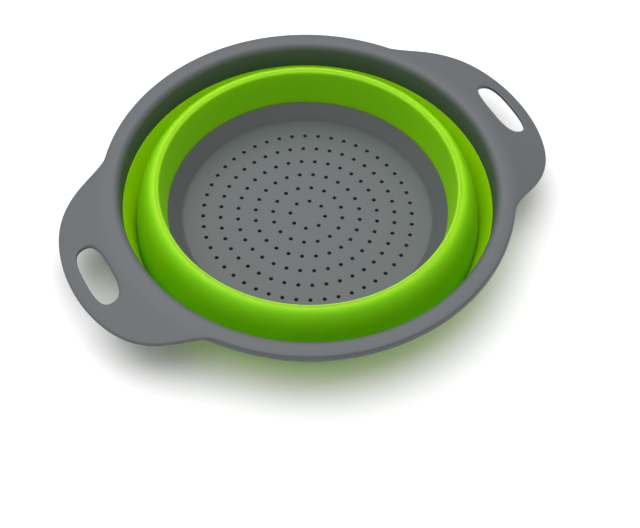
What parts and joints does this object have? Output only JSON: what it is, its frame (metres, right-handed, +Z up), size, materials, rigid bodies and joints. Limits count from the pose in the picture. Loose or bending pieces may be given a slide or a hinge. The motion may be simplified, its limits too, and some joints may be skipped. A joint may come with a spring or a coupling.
{
  "type": "folding colander",
  "caption": "Round folding colander: a rigid rim with two slotted handles, a soft wall that folds flat, and a perforated base.",
  "frame": {"origin": "centre of the circle that the folded colander stands on, at table height", "axes": "+Z up, the axis of the round bowl; +X along the two handles"},
  "size_m": [0.2968, 0.24, 0.0352],
  "materials": {
    "grey_plastic": "moulded polypropylene, fine satin texture",
    "green_rubber": "moulded thermoplastic rubber, smooth satin"
  },
  "bodies": {
    "base": {"strainer_base": "grey_plastic", "lower_wall": "green_rubber"},
    "rim": {"rim_frame": "grey_plastic", "upper_wall": "green_rubber", "middle_wall": "green_rubber"}
  },
  "joints": [
    {"name": "unfold", "type": "slide", "parent": "base", "child": "rim", "axis": [0, 0, 1], "range_m": [0, 0.063], "deforming": ["middle_wall"]}
  ]
}
